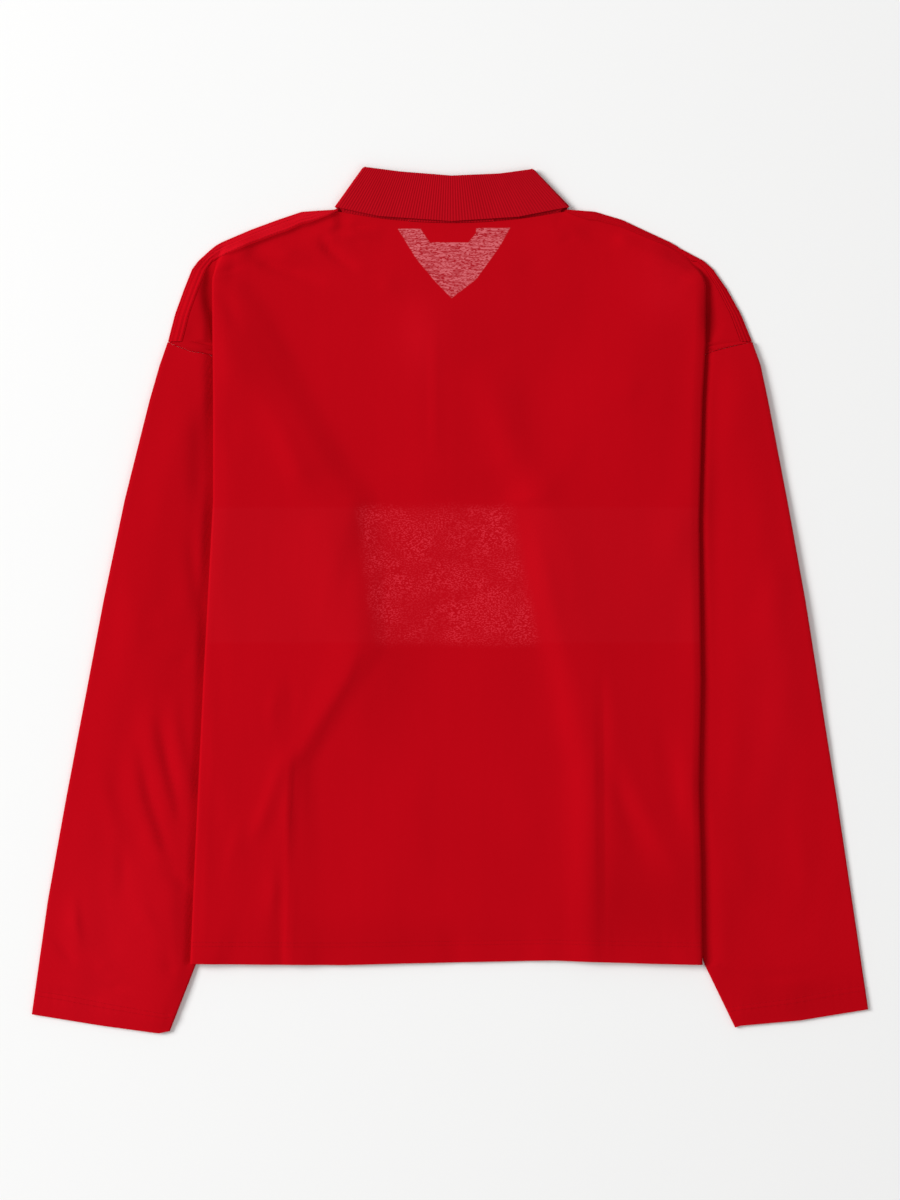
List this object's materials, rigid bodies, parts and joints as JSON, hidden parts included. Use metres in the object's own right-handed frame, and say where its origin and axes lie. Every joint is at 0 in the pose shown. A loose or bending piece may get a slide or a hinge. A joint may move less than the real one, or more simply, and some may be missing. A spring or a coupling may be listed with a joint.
{
  "type": "long-sleeve polo shirt laid flat",
  "caption": "Red jersey long-sleeve polo shirt with a rib-knit collar, laid face down with its back showing and its sides folded under.",
  "frame": {"origin": "middle of the laid shirt's outline, on the surface it lies on", "axes": "+X to the picture's right, the wearer's right; +Y from hem to collar; +Z out of the shirt's back, away from the surface"},
  "size_m": [0.7688, 0.7958, 0.0079],
  "materials": {
    "jersey": "matt cotton jersey",
    "rib_knit": "matt flat-knit rib",
    "tape": "matt twill tape",
    "label": "blank woven label",
    "button": "polished resin"
  },
  "bodies": {
    "root": {"back_panel": "jersey", "front_panel": "jersey", "sleeve_left": "jersey", "sleeve_right": "jersey", "placket_upper": "jersey", "placket_under": "jersey", "collar": "rib_knit", "neck_tape": "tape", "neck_label": "label", "button_top": "button", "button_middle": "button", "button_lower": "button"}
  },
  "joints": []
}
